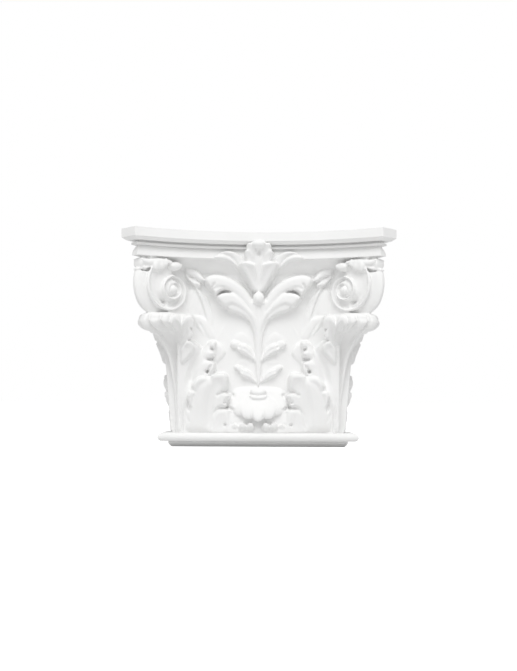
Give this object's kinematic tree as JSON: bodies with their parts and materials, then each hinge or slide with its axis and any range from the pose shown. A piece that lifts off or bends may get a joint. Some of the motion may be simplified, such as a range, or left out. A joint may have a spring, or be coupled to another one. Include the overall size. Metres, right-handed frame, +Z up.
{
  "type": "pilaster capital",
  "caption": "Corinthian pilaster capital with leaf-carved bell, corner volutes and a hollow-sided abacus; caps a flat pilaster against a wall.",
  "frame": {"origin": "centre of the bounding box at the underside of the neck; the wall plane is the +Y side", "axes": "+Z up, +X to the right seen from the front, front face toward -Y"},
  "size_m": [0.28, 0.11, 0.222],
  "materials": {
    "white_casting": "matt white primed casting"
  },
  "bodies": {
    "root": {"capital": "white_casting"}
  },
  "joints": []
}
